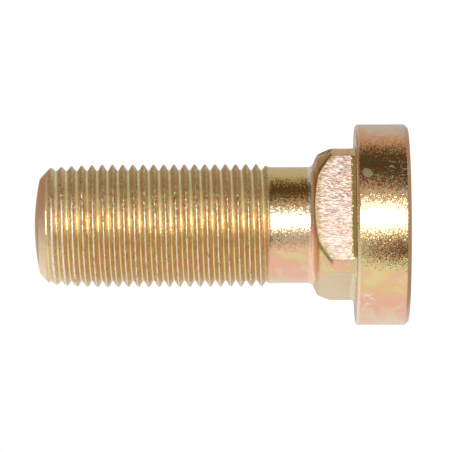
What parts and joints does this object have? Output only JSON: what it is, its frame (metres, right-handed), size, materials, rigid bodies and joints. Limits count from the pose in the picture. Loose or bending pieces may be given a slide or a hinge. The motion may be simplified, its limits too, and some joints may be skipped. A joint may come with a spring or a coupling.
{
  "type": "wheel bolt",
  "caption": "Wheel bolt with a round flat head, a square neck with turned corners, a short plain shank and a fine right-hand thread, in yellow-passivated zinc.",
  "frame": {"origin": "centre of the head's flat outer face", "axes": "+Z along the bolt from the head to the thread's tip, X and Y square to the neck's flats"},
  "size_m": [0.0294, 0.0294, 0.0545],
  "materials": {
    "yellow_zinc": "steel with yellow iridescent zinc passivation, satin, finely drawn"
  },
  "bodies": {
    "root": {"wheel_bolt": "yellow_zinc"}
  },
  "joints": []
}
